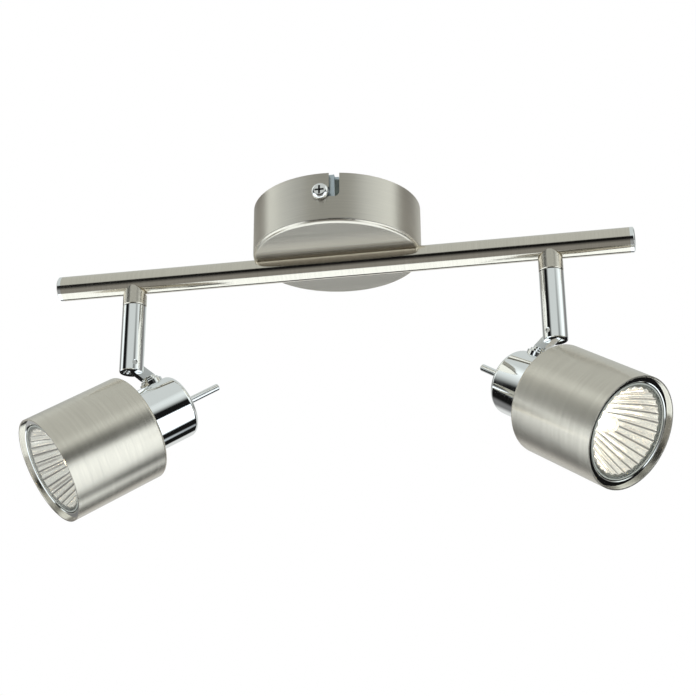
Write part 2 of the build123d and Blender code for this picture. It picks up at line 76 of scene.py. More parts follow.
LINE_LENGTH = 0.02          # brush lines drift over this length round a turned part
BROAD_LINES = 7             # how much wider the broad brush lines are than the fine ones
SHADE_GRAIN = 0.00026       # width of one fine line on each kind of brushed part
CANOPY_GRAIN = 0.00022
COLLAR_GRAIN = 0.0002
CAST_GRAIN = 0.0006         # lump size of plain cast or moulded surfaces
CLOUD_RATIO = 18            # how much wider their mottling is
CROSS_LENGTH = 0.0046       # painted shade: near-black cross set in each canopy screw's recess
CROSS_WIDTH = 0.001
CROSS_DEPTH = 0.0013
CROSS_INSET = 0.00105
MIRROR_REAR_GAP = 0.0006    # the mirror coating inside the lamp's glass bowl
MIRROR_FRONT_GAP = 0.0002
MIRROR_RIM_GAP = 0.0017
MIRROR_SWELL = 0.0013
MIRROR_WALL = 0.0003
CAPSULE_WALL = 0.0006       # quartz capsule and its filament
CAPSULE_SHOULDER = 0.004
CAPSULE_FOOT = 0.006
FILAMENT_START = 0.008


# ---- places taken from the CAD frame ----

def joint_called(name):
    """The joint of this name in the CAD frame."""
    return next(j for j in frame["joints"] if j["name"] == name)


def lathe_frame(origin, axis):
    """A matrix whose X runs along the axis and whose Z leans as near upright as it can."""
    forward = Vector(axis).normalized()
    guide = Z_AXIS if abs(forward.z) < 0.9 else Vector((0, -1, 0))
    upward = (guide - forward * guide.dot(forward)).normalized()
    across = upward.cross(forward)
    matrix = Matrix((forward, across, upward)).transposed().to_4x4()
    matrix.translation = Vector(origin)
    return matrix


def lamp_frame(side):
    """The lathe frame of one lamp, which its shade and cup share."""
    joint = joint_called(f"lamp_twist_{side}")
    return lathe_frame(joint["pos_m"], joint["axis"])


def reach(node, matrix):
    """(rear, front, radius) of a CAD node along the X axis of a lathe frame."""
    inverse = matrix.inverted()
    points = [inverse @ v.co for v in frame["nodes"][node].data.vertices]
    along = [p.x for p in points]
    return min(along), max(along), max(sqrt(p.y ** 2 + p.z ** 2) for p in points)


# ---- mesh helpers ----

def link_piece(name, mesh, body, material):
    """A finished piece in the scene, with one material, riding on its CAD body."""
    piece = bpy.data.objects.new(name, mesh)
    bpy.context.scene.collection.objects.link(piece)
    mesh.materials.clear()
    mesh.materials.append(material)
    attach(piece, body)
    return piece


def turned_mesh(name, profile, matrix, segments):
    """A lathe-turned solid from (x, radius) points, faces outward, smooth but for sharp corners."""
    shape = bmesh.new()
    rings = []
    for x, radius in profile:
        if radius < 1e-7:
            rings.append([shape.verts.new((x, 0, 0))])
            continue
        turn = [2 * pi * k / segments for k in range(segments)]
        rings.append([shape.verts.new((x, radius * cos(a), radius * sin(a))) for a in turn])
    for first, second in zip(rings, rings[1:]):
        for k in range(segments):
            n = (k + 1) % segments
            corners = [first[k % len(first)], first[n % len(first)],
                       second[n % len(second)], second[k % len(second)]]
            unique = list(dict.fromkeys(corners))
            if len(unique) > 2:
                shape.faces.new(unique)
    bmesh.ops.remove_doubles(shape, verts=shape.verts, dist=1e-7)
    bmesh.ops.recalc_face_normals(shape, faces=shape.faces)
    shape.transform(matrix)
    mesh = bpy.data.meshes.new(name)
    shape.to_mesh(mesh)
    shape.free()
    mesh.shade_smooth()
    mesh.set_sharp_from_angle(angle=radians(32))
    return mesh


# ---- geometry-node helpers ----

def node_group(name, inputs):
    """An empty geometry tree with named inputs: (name, socket type, default)."""
    tree = bpy.data.node_groups.new(name, "GeometryNodeTree")
    for label, kind, default in inputs:
        socket = tree.interface.new_socket(name=label, in_out="INPUT", socket_type=kind)
        if default is not None:
            socket.default_value = default
    tree.interface.new_socket(name="Geometry", in_out="OUTPUT", socket_type="NodeSocketGeometry")
    return tree


def add_node(tree, kind, links=(), **settings):
    """A node with its attributes set and its inputs linked: (input, source socket or value)."""
    node = tree.nodes.new(kind)
    for key, value in settings.items():
        setattr(node, key, value)
    for socket, source in links:
        if isinstance(source, bpy.types.NodeSocket):
            tree.links.new(source, node.inputs[socket])
        else:
            node.inputs[socket].default_value = source
    return node


def math_node(tree, operation, first, second=0.0, third=0.0):
    """The result of one sum; each term is a number or a socket."""
    links = [(0, first), (1, second)]
    if operation == "MULTIPLY_ADD":
        links.append((2, third))
    return add_node(tree, "ShaderNodeMath", links, operation=operation).outputs[0]


def grown_mesh(name, tree, values, matrix, finish=None):
    """The plain mesh that a geometry tree grows with these input values, put in place.

    finish may add modifiers to the object before it is turned into a mesh.
    """
    seed = bpy.data.meshes.new(f"{name}_seed")
    holder = bpy.data.objects.new(f"{name}_seed", seed)
    bpy.context.scene.collection.objects.link(holder)
    modifier = holder.modifiers.new("grow", "NODES")
    modifier.node_group = tree
    for item in tree.interface.items_tree:
        if item.in_out == "INPUT" and item.name in values:
            modifier[item.identifier] = values[item.name]
    if finish is not None:
        finish(holder)
    holder.update_tag()
    graph = bpy.context.evaluated_depsgraph_get()
    mesh = bpy.data.meshes.new_from_object(holder.evaluated_get(graph))
    holder.modifiers.clear()
    bpy.data.objects.remove(holder)
    bpy.data.meshes.remove(seed)
    if not mesh.polygons:
        raise RuntimeError(f"{name} grew no faces")
    mesh.name = name
    mesh.transform(matrix)
    return mesh


# ---- material helpers ----

def new_material(name):
    """A new material with its tree and its one principled shader."""
    material = bpy.data.materials.new(name)
    material.use_nodes = True
    tree = material.node_tree
    tree.nodes.clear()
    output = tree.nodes.new("ShaderNodeOutputMaterial")
    shader = tree.nodes.new("ShaderNodeBsdfPrincipled")
    tree.links.new(shader.outputs["BSDF"], output.inputs["Surface"])
    return material, tree, shader


def placed_coords(tree, matrix, size):
    """Object coordinates turned into a frame and divided by a size on each axis."""
    coords = tree.nodes.new("ShaderNodeTexCoord")
    mapping = add_node(tree, "ShaderNodeMapping", [("Vector", coords.outputs["Object"])],
                       vector_type="TEXTURE")
    mapping.inputs["Location"].default_value = matrix.translation
    mapping.inputs["Rotation"].default_value = matrix.to_euler()
    mapping.inputs["Scale"].default_value = size
    return mapping.outputs[0]


def lathe_lines(tree, matrix, pitch, length, detail):
    """Fine lines round a lathe axis, on the girth and in rings on the end faces alike."""
    where = add_node(tree, "ShaderNodeSeparateXYZ", [(0, placed_coords(tree, matrix, (1, 1, 1)))])
    along, across, upward = where.outputs
    radius = math_node(tree, "SQRT", math_node(tree, "MULTIPLY_ADD", across, across,
                                               math_node(tree, "MULTIPLY", upward, upward)))
    step = math_node(tree, "DIVIDE", math_node(tree, "ADD", along, radius), pitch)
    place = add_node(tree, "ShaderNodeCombineXYZ", [
        (0, step), (1, math_node(tree, "DIVIDE", across, length)),
        (2, math_node(tree, "DIVIDE", upward, length))])
    noise = add_node(tree, "ShaderNodeTexNoise", [("Vector", place.outputs[0])])
    noise.inputs["Scale"].default_value = 1.0
    noise.inputs["Detail"].default_value = detail
    return noise.outputs["Fac"]


def noise_on(tree, matrix, size, detail=3.0):
    """Noise on object coordinates turned into a frame; size is one lump's length on each axis."""
    noise = add_node(tree, "ShaderNodeTexNoise", [("Vector", placed_coords(tree, matrix, size))])
    noise.inputs["Scale"].default_value = 1.0
    noise.inputs["Detail"].default_value = detail
    noise.inputs["Roughness"].default_value = 0.55
    return noise.outputs["Fac"]


def spread(tree, source, low, high, start=0.3, end=0.7):
    """The source's middle range stretched to run from low to high."""
    node = add_node(tree, "ShaderNodeMapRange", [("Value", source), ("From Min", start),
                    ("From Max", end), ("To Min", low), ("To Max", high)])
    return node.outputs["Result"]


def tinted(tree, source, dark, light):
    """A colour between two colours, steered by the source."""
    ramp = add_node(tree, "ShaderNodeValToRGB", [("Fac", source)])
    ramp.color_ramp.elements[0].position = 0.25
    ramp.color_ramp.elements[1].position = 0.75
    ramp.color_ramp.elements[0].color = (*dark, 1)
    ramp.color_ramp.elements[1].color = (*light, 1)
    return ramp.outputs["Color"]


def shaded(colour, factor):
    """The colour made darker or lighter, never past white."""
    return tuple(min(1.0, c * factor) for c in colour)


def bump(tree, shader, height, strength, distance):
    """Relief of this depth on the shader's surface."""
    node = add_node(tree, "ShaderNodeBump", [("Height", height)])
    node.inputs["Strength"].default_value = strength
    node.inputs["Distance"].default_value = distance
    tree.links.new(node.outputs["Normal"], shader.inputs["Normal"])


def aim_tangent(tree, shader, direction):
    """Stretches the gloss along a direction given in the piece's own axes."""
    fixed = add_node(tree, "ShaderNodeCombineXYZ", [(k, direction[k]) for k in range(3)])
    turn = add_node(tree, "ShaderNodeVectorTransform", [("Vector", fixed.outputs[0])],
                    vector_type="VECTOR", convert_from="OBJECT", convert_to="WORLD")
    tree.links.new(turn.outputs[0], shader.inputs["Tangent"])


def turned_metal(name, colour, matrix, roughness, stretch, grain, depth):
    """Metal brushed round a lathe axis: fine lines round the girth, gloss stretched along it."""
    material, tree, shader = new_material(name)
    fine = lathe_lines(tree, matrix, grain, LINE_LENGTH, detail=2.0)
    broad = lathe_lines(tree, matrix, grain * BROAD_LINES, LINE_LENGTH * 1.75, detail=3.0)
    cloud = noise_on(tree, matrix, (0.03, 0.03, 0.03), detail=2.0)
    lines = math_node(tree, "MULTIPLY_ADD", fine, 0.6, math_node(tree, "MULTIPLY", broad, 0.4))
    tint = tinted(tree, lines, shaded(colour, 0.9), shaded(colour, 1.08))
    tree.links.new(tint, shader.inputs["Base Color"])
    gloss = math_node(tree, "ADD", spread(tree, lines, roughness - 0.015, roughness + 0.015),
                      spread(tree, cloud, -0.015, 0.02))
    tree.links.new(gloss, shader.inputs["Roughness"])
    shader.inputs["Metallic"].default_value = 1.0
    shader.inputs["Anisotropic"].default_value = stretch
    bump(tree, shader, lines, 0.045, depth)
    aim_tangent(tree, shader, matrix.col[0][:3])
    return material


def polished_metal(name, colour, roughness, wipe=0.02):
    """Plated, polished metal with faint wiping marks and a trace of uneven plating."""
    material, tree, shader = new_material(name)
    still = Matrix.Identity(4)
    wiping = noise_on(tree, still, (0.012, 0.004, 0.02), detail=4.0)
    waves = noise_on(tree, still, (0.02, 0.02, 0.02), detail=1.0)
    tint = tinted(tree, wiping, shaded(colour, 0.975), colour)
    tree.links.new(tint, shader.inputs["Base Color"])
    gloss = spread(tree, wiping, roughness, roughness + wipe)
    tree.links.new(gloss, shader.inputs["Roughness"])
    shader.inputs["Metallic"].default_value = 1.0
    bump(tree, shader, waves, 0.1, 0.00004)
    return material


def plain_finish(name, colour, roughness, metallic=0.0, relief=0.3):
    """Cast, plated or moulded stuff with a fine grain, mottled colour and uneven gloss."""
    material, tree, shader = new_material(name)
    still = Matrix.Identity(4)
    grain = noise_on(tree, still, (CAST_GRAIN,) * 3, detail=4.0)
    cloud = noise_on(tree, still, (CAST_GRAIN * CLOUD_RATIO,) * 3)
    tint = tinted(tree, cloud, shaded(colour, 0.88), shaded(colour, 1.06))
    tree.links.new(tint, shader.inputs["Base Color"])
    gloss = math_node(tree, "ADD", spread(tree, grain, roughness - 0.04, roughness + 0.06),
                      spread(tree, cloud, -0.03, 0.04))
    tree.links.new(gloss, shader.inputs["Roughness"])
    shader.inputs["Metallic"].default_value = metallic
    bump(tree, shader, grain, relief, 0.00003)
    return material


def sheet_and_wall_metal(name, colour, wall_gloss, face_gloss):
    """The canopy: lines round the wall, and straight lines along the bar on the flat face."""
    material, tree, shader = new_material(name)
    upright = lathe_frame((0, 0, 0), (0, 0, 1))
    round_wall = noise_on(tree, upright, (CANOPY_GRAIN, 0.03, 0.03))
    on_face = noise_on(tree, Matrix.Identity(4), (0.05, CANOPY_GRAIN, 0.05))
    normal = tree.nodes.new("ShaderNodeNewGeometry")
    facing = add_node(tree, "ShaderNodeSeparateXYZ", [(0, normal.outputs["Normal"])])
    flat = spread(tree, math_node(tree, "ABSOLUTE", facing.outputs[2]), 0.0, 1.0, 0.05, 0.25)
    lines = add_node(tree, "ShaderNodeMix", [(0, flat), (2, round_wall), (3, on_face)]).outputs[0]
    tint = tinted(tree, lines, shaded(colour, 0.93), shaded(colour, 1.06))
    tree.links.new(tint, shader.inputs["Base Color"])
    gloss = add_node(tree, "ShaderNodeMix", [(0, flat), (2, wall_gloss), (3, face_gloss)])
    tree.links.new(math_node(tree, "ADD", gloss.outputs[0], spread(tree, lines, -0.02, 0.02)),
                   shader.inputs["Roughness"])
    shader.inputs["Anisotropic"].default_value = 0.92
    shader.inputs["Metallic"].default_value = 1.0
    bump(tree, shader, lines, 0.12, 0.00002)
    side = math_node(tree, "SUBTRACT", 1.0, flat)
    grain = add_node(tree, "ShaderNodeCombineXYZ", [(0, 0.0), (1, flat), (2, side)])
    turn = add_node(tree, "ShaderNodeVectorTransform", [("Vector", grain.outputs[0])],
                    vector_type="VECTOR", convert_from="OBJECT", convert_to="WORLD")
    tree.links.new(turn.outputs[0], shader.inputs["Tangent"])
    return material


def clear_glass(name, colour, roughness=0.0, painted_glow=0.0):
    """Clear pressed glass with faint waviness; a lit one gets a little warm painted glow, standing
    in for the filament's light in the glass.
    """
    material, tree, shader = new_material(name)
    waves = noise_on(tree, Matrix.Identity(4), (0.004, 0.004, 0.004), detail=1.0)
    tint = tinted(tree, waves, shaded(colour, 0.98), colour)
    tree.links.new(tint, shader.inputs["Base Color"])
    shader.inputs["Roughness"].default_value = roughness
    shader.inputs["IOR"].default_value = 1.47
    shader.inputs["Transmission Weight"].default_value = 1.0
    # Painted light: the glass glows as if lit from inside.
    if painted_glow:
        shader.inputs["Emission Color"].default_value = (1.0, 0.9, 0.76, 1)
        shader.inputs["Emission Strength"].default_value = painted_glow
    bump(tree, shader, waves, 0.08, 0.00004)
    return material


def finish_nodes(nodes, material):
    """Gives carried-over CAD nodes their material."""
    for name in nodes:
        node = frame["nodes"][name]
        if not node.material_slots:
            node.data.materials.append(material)
        for place in node.material_slots:
            place.material = material


# ---- settings a user would change ----

class TwinSpotSettings(bpy.types.PropertyGroup):
    nickel: bpy.props.FloatVectorProperty(
        name="Satin nickel",
        description="Colour of the brushed nickel on the canopy, bar, collars and shades",
        subtype="COLOR", size=3, min=0, max=1, default=(0.70, 0.655, 0.57))
    chrome: bpy.props.FloatVectorProperty(
        name="Chrome", description="Colour of the polished stems, cups and handles",
        subtype="COLOR", size=3, min=0, max=1, default=(0.93, 0.945, 0.94))
    zinc: bpy.props.FloatVectorProperty(
        name="Zinc plate", description="Colour of the bluish zinc plating on the bracket",
        subtype="COLOR", size=3, min=0, max=1, default=(0.56, 0.63, 0.67))
    ceramic: bpy.props.FloatVectorProperty(
        name="Ceramic", description="Colour of the lamp holders and lamp bases",
        subtype="COLOR", size=3, min=0, max=1, default=(0.80, 0.77, 0.70))
    # Painted light: the mirror coating glows, standing in for the filament's light it reflects.
    mirror_painted_glow: bpy.props.FloatProperty(
        name="Lamp glow",
        description="Strength of the light that the mirror of each lamp gives off",
        min=0, max=5, default=0.26)
    flutes: bpy.props.IntProperty(
        name="Flutes", description="Number of flutes round each lamp's mirror",
        min=8, max=60, default=30)
    flute_rows: bpy.props.IntProperty(
        name="Flute rows", description="Number of facets along each flute",
        min=3, max=20, default=9)
    filament_turns: bpy.props.FloatProperty(
        name="Filament turns", description="Turns of the coiled filament in each lamp",
        min=4, max=40, default=14)
    filament_wire: bpy.props.FloatProperty(
        name="Filament wire", description="Radius of the filament's wire",
        unit="LENGTH", min=0.00005, max=0.001, default=0.00016)


def settings():
    """The add-on's settings in this scene."""
    return bpy.context.scene.twin_spot


# ---- the pieces ----

class TWINSPOT_OT_canopy_and_bar(bpy.types.Operator):
    """Finish the canopy, its bracket and screws, and the bar with its end caps and collars"""
    bl_idname = "twin_spot.canopy_and_bar"
    bl_label = "Canopy and bar"

    def execute(self, context):
        look = settings()
        canopy = sheet_and_wall_metal("satin_nickel_canopy", tuple(look.nickel), 0.40, 0.22)
        finish_nodes(["canopy"], canopy)
        low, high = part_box("bar_tube")
        middle = (low + high) / 2
        bar_frame = lathe_frame(middle, (1, 0, 0))
        tube = turned_metal("satin_nickel_bar", tuple(look.nickel), bar_frame,
                            roughness=0.12, stretch=0.6, grain=CANOPY_GRAIN, depth=0.00004)
        finish_nodes(["bar_tube"], tube)
        caps = polished_metal("bright_end_caps", tuple(look.chrome), 0.10)
        finish_nodes(["bar_end_cap_left", "bar_end_cap_right"], caps)
        for side in SIDES:
            low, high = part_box(f"collar_{side}")
            collar_frame = lathe_frame((low + high) / 2, (0, 0, 1))
            metal = turned_metal(f"satin_nickel_collar_{side}", tuple(look.nickel), collar_frame,
                                 roughness=0.26, stretch=0.7, grain=COLLAR_GRAIN, depth=0.00002)
            finish_nodes([f"collar_{side}"], metal)
        plate = plain_finish("zinc_plated_sheet", tuple(look.zinc), 0.32, metallic=1.0)
        finish_nodes(["mounting_bracket", "saddle_washer"], plate)
        return {"FINISHED"}


class TWINSPOT_OT_fixings(bpy.types.Operator):
    """Finish the screws, nuts, washers, pins and leads"""
    bl_idname = "twin_spot.fixings"
    bl_label = "Fixings and wiring"

    def execute(self, context):
        bright = polished_metal("bright_zinc_screws", (0.86, 0.86, 0.84), 0.16, wipe=0.06)
        finish_nodes(["canopy_screws", "bar_nipple", "bar_nut"], bright)
        for side in SIDES:
            finish_nodes([f"swivel_stud_{side}", f"swivel_nut_{side}", f"pivot_pin_{side}",
                          f"knuckle_screw_{side}", f"handle_nut_{side}", f"holder_screws_{side}",
                          f"lamp_contacts_{side}"], bright)
        # Painted shade: near-black crosses put inside the canopy screws' cross recesses, where
        # shade falls.
        recess_shade = plain_finish("painted_recess_shade", (0.025, 0.025, 0.025), 0.6)
        low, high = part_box("canopy_screws")
        height = (low.z + high.z) / 2
        for outer, side in ((low.y, 1), (high.y, -1)):
            shape = bmesh.new()
            for wide, tall in ((CROSS_LENGTH, CROSS_WIDTH), (CROSS_WIDTH, CROSS_LENGTH)):
                size = Matrix.Diagonal((wide, CROSS_DEPTH, tall, 1))
                place = Matrix.Translation((0, outer + side * CROSS_INSET, height))
                bmesh.ops.create_cube(shape, size=1, matrix=place @ size)
            mesh = bpy.data.meshes.new("painted_cross_shade")
            shape.to_mesh(mesh)
            shape.free()
            link_piece(f"painted_cross_shade_{'front' if side > 0 else 'back'}", mesh, "bracket",
                       recess_shade)
        brass = plain_finish("brass", (0.78, 0.58, 0.27), 0.24, metallic=1.0)
        finish_nodes(["earth_screw", "terminal_screws"], brass)
        rubber = plain_finish("friction_fibre", (0.10, 0.095, 0.09), 0.7)
        finish_nodes([f"friction_washer_{side}" for side in SIDES], rubber)
        block = plain_finish("terminal_polyamide", (0.83, 0.81, 0.74), 0.45)
        finish_nodes(["terminal_block"], block)
        for node, colour in (("lead_live", (0.16, 0.06, 0.025)),
                             ("lead_neutral", (0.03, 0.13, 0.42)),
                             ("lead_earth", (0.22, 0.42, 0.05))):
            finish_nodes([node], plain_finish(f"{node}_sleeve", colour, 0.42))
        return {"FINISHED"}


class TWINSPOT_OT_stems(bpy.types.Operator):
    """Finish the polished stems and the cast knuckles below them"""
    bl_idname = "twin_spot.stems"
    bl_label = "Stems and knuckles"

    def execute(self, context):
        look = settings()
        chrome = polished_metal("chrome_stems", tuple(look.chrome), 0.05)
        finish_nodes([f"stem_{side}" for side in SIDES], chrome)
        cast = polished_metal("bright_knuckle", shaded(tuple(look.chrome), 0.94), 0.08, wipe=0.04)
        finish_nodes([f"knuckle_{side}" for side in SIDES], cast)
        return {"FINISHED"}


class TWINSPOT_OT_heads(bpy.types.Operator):
    """Finish the brushed shades, the chromed cups, their handles and rings"""
    bl_idname = "twin_spot.heads"
    bl_label = "Shades and cups"

    def execute(self, context):
        look = settings()
        chrome = polished_metal("chrome_cups", tuple(look.chrome), 0.04)
        ring = polished_metal("bright_ring", (0.88, 0.88, 0.85), 0.07)
        for side in SIDES:
            place = lamp_frame(side)
            shade = turned_metal(f"brushed_shade_{side}", tuple(look.nickel), place,
                                 roughness=0.235, stretch=0.9, grain=SHADE_GRAIN, depth=0.00004)
            finish_nodes([f"shade_{side}"], shade)
            finish_nodes([f"holder_cap_{side}", f"handle_pin_{side}"], chrome)
            finish_nodes([f"retaining_ring_{side}", f"shade_ring_nut_{side}"], ring)
        return {"FINISHED"}


def flute_tree():
    """A bowl-shaped mirror: one rounded flute on a parabola, repeated round the lamp's axis."""
    tree = node_group("Lamp mirror flutes", [
        ("Flutes", "NodeSocketInt", 30), ("Rows", "NodeSocketInt", 9),
        ("Neck Radius", "NodeSocketFloat", 0.008), ("Mouth Radius", "NodeSocketFloat", 0.0225),
        ("Depth", "NodeSocketFloat", 0.028), ("Swell", "NodeSocketFloat", 0.0006),
        ("Material", "NodeSocketMaterial", None)])
    given = tree.nodes.new("NodeGroupInput").outputs
    rows = math_node(tree, "ADD", given["Rows"], 1.0)
    grid = add_node(tree, "GeometryNodeMeshGrid", [
        ("Size X", 1.0), ("Size Y", 1.0), ("Vertices X", rows), ("Vertices Y", 5)])
    where = add_node(tree, "ShaderNodeSeparateXYZ",
                     [(0, tree.nodes.new("GeometryNodeInputPosition").outputs[0])])
    along = math_node(tree, "ADD", where.outputs[0], 0.5)
    widening = math_node(tree, "SUBTRACT", given["Mouth Radius"], given["Neck Radius"])
    radius = math_node(tree, "MULTIPLY_ADD", along, widening, given["Neck Radius"])
    neck_square = math_node(tree, "MULTIPLY", given["Neck Radius"], given["Neck Radius"])
    mouth_square = math_node(tree, "MULTIPLY", given["Mouth Radius"], given["Mouth Radius"])
    square = math_node(tree, "MULTIPLY", radius, radius)
    share = math_node(tree, "DIVIDE", math_node(tree, "SUBTRACT", square, neck_square),
                      math_node(tree, "SUBTRACT", mouth_square, neck_square))
    height = math_node(tree, "MULTIPLY", share, given["Depth"])
    hump = math_node(tree, "COSINE", math_node(tree, "MULTIPLY", where.outputs[1], pi))
    swell = math_node(tree, "MULTIPLY", math_node(tree, "MULTIPLY", hump, given["Swell"]), along)
    fluted = math_node(tree, "SUBTRACT", radius, swell)
    step = math_node(tree, "DIVIDE", 2 * pi, given["Flutes"])
    angle = math_node(tree, "MULTIPLY", where.outputs[1], step)
    place = add_node(tree, "ShaderNodeCombineXYZ", [
        (0, height),
        (1, math_node(tree, "MULTIPLY", fluted, math_node(tree, "SINE", angle))),
        (2, math_node(tree, "MULTIPLY", fluted, math_node(tree, "COSINE", angle)))])
    # Mask for painted shade: 0 along each flute's middle, 1 at its edges.
    flute_edge_shade = math_node(tree, "MULTIPLY", math_node(tree, "ABSOLUTE", where.outputs[1]), 2.0)
    marked = add_node(tree, "GeometryNodeStoreNamedAttribute", [
        ("Geometry", grid.outputs[0]), ("Name", "flute_edge_shade"), ("Value", flute_edge_shade)],
        data_type="FLOAT", domain="POINT")
    flute = add_node(tree, "GeometryNodeSetPosition",
                     [("Geometry", marked.outputs[0]), ("Position", place.outputs[0])])
    points = add_node(tree, "GeometryNodePoints", [("Count", given["Flutes"])])
    index = tree.nodes.new("GeometryNodeInputIndex").outputs[0]
    turn = add_node(tree, "ShaderNodeCombineXYZ", [(0, math_node(tree, "MULTIPLY", index, step))])
    ring = add_node(tree, "GeometryNodeInstanceOnPoints", [
        ("Points", points.outputs[0]), ("Instance", flute.outputs[0]),
        ("Rotation", turn.outputs[0])])
    real = add_node(tree, "GeometryNodeRealizeInstances", [(0, ring.outputs[0])])
    joined = add_node(tree, "GeometryNodeMergeByDistance",
                      [("Geometry", real.outputs[0]), ("Distance", 1e-6)])
    flat = add_node(tree, "GeometryNodeSetShadeSmooth",
                    [("Geometry", joined.outputs[0]), ("Shade Smooth", False)])
    coated = add_node(tree, "GeometryNodeSetMaterial",
                      [("Geometry", flat.outputs[0]), ("Material", given["Material"])])
    output = tree.nodes.new("NodeGroupOutput")
    tree.links.new(coated.outputs[0], output.inputs[0])
    return tree


class TWINSPOT_OT_lamp_mirrors(bpy.types.Operator):
    """Grow the fluted mirror inside each lamp and finish its glass bowl and front glass"""
    bl_idname = "twin_spot.lamp_mirrors"
    bl_label = "Lamp mirrors"

    def execute(self, context):
        look = settings()
        mirror, tree, shader = new_material("lamp_mirror")
        spots = noise_on(tree, Matrix.Identity(4), (0.003, 0.003, 0.003), detail=2.0)
        tint = tinted(tree, spots, (0.90, 0.88, 0.84), (0.98, 0.965, 0.93))
        # Painted shade: colour and glow fall to near black along the flute edges, standing in for
        # the dark creases between facets.
        flute_edge_shade = add_node(tree, "ShaderNodeAttribute", attribute_name="flute_edge_shade")
        lines = spread(tree, flute_edge_shade.outputs["Fac"], 0.0, 0.88, start=0.62, end=0.98)
        for base, socket in ((tint, "Base Color"), ((1.0, 0.95, 0.87, 1), "Emission Color")):
            edge_shaded = add_node(tree, "ShaderNodeMix",
                            [(0, lines), (6, base), (7, (0.05, 0.05, 0.05, 1))], data_type="RGBA")
            tree.links.new(edge_shaded.outputs[2], shader.inputs[socket])
        tree.links.new(spread(tree, spots, 0.10, 0.20), shader.inputs["Roughness"])
        shader.inputs["Metallic"].default_value = 1.0
        # Painted light: the mirror glows warm white as if lit by the filament.
        shader.inputs["Emission Strength"].default_value = look.mirror_painted_glow
        bowl = plain_finish("lamp_bowl_glass", (0.52, 0.54, 0.50), 0.12, relief=0.1)
        lens = clear_glass("lamp_front_glass", (0.96, 0.975, 0.96))
        flutes = flute_tree()
        for side in SIDES:
            place = lamp_frame(side)
            rear, front, radius = reach(f"lamp_reflector_{side}", place)
            glass_rear = reach(f"lamp_glass_{side}", place)[0]
            start = rear + MIRROR_REAR_GAP
            place_rear = place @ Matrix.Translation((start, 0, 0))

            def thicken(holder):
                wall = holder.modifiers.new("wall", "SOLIDIFY")
                wall.thickness = MIRROR_WALL
                wall.offset = -1.0

            mesh = grown_mesh(f"lamp_mirror_{side}", flutes, {
                "Flutes": look.flutes, "Rows": look.flute_rows, "Neck Radius": radius * 0.31,
                "Mouth Radius": radius - MIRROR_RIM_GAP,
                "Depth": glass_rear - start - MIRROR_FRONT_GAP,
                "Swell": MIRROR_SWELL, "Material": mirror}, place_rear, thicken)
            link_piece(f"lamp_mirror_{side}", mesh, f"lamp_{side}", mirror)
            finish_nodes([f"lamp_reflector_{side}"], bowl)
            finish_nodes([f"lamp_glass_{side}"], lens)
        return {"FINISHED"}


def filament_tree():
    """A coiled wire along X."""
    tree = node_group("Lamp filament", [
        ("Turns", "NodeSocketFloat", 14.0), ("Coil Radius", "NodeSocketFloat", 0.0008),
        ("Length", "NodeSocketFloat", 0.009), ("Wire Radius", "NodeSocketFloat", 0.00016),
        ("Material", "NodeSocketMaterial", None)])
    given = tree.nodes.new("NodeGroupInput").outputs
    coil = add_node(tree, "GeometryNodeCurveSpiral", [
        ("Resolution", 12), ("Rotations", given["Turns"]), ("Start Radius", given["Coil Radius"]),
        ("End Radius", given["Coil Radius"]), ("Height", given["Length"])])
    section = add_node(tree, "GeometryNodeCurvePrimitiveCircle", [
        ("Resolution", 6), ("Radius", given["Wire Radius"])])
    wire = add_node(tree, "GeometryNodeCurveToMesh", [
        (0, coil.outputs[0]), (1, section.outputs[0]), ("Fill Caps", True)])
    laid = add_node(tree, "GeometryNodeTransform", [
        ("Geometry", wire.outputs[0]), ("Rotation", (0, pi / 2, 0))])
    real = add_node(tree, "GeometryNodeRealizeInstances", [(0, laid.outputs[0])])
    coated = add_node(tree, "GeometryNodeSetMaterial",
                      [("Geometry", real.outputs[0]), ("Material", given["Material"])])
    output = tree.nodes.new("NodeGroupOutput")
    tree.links.new(coated.outputs[0], output.inputs[0])
    return tree


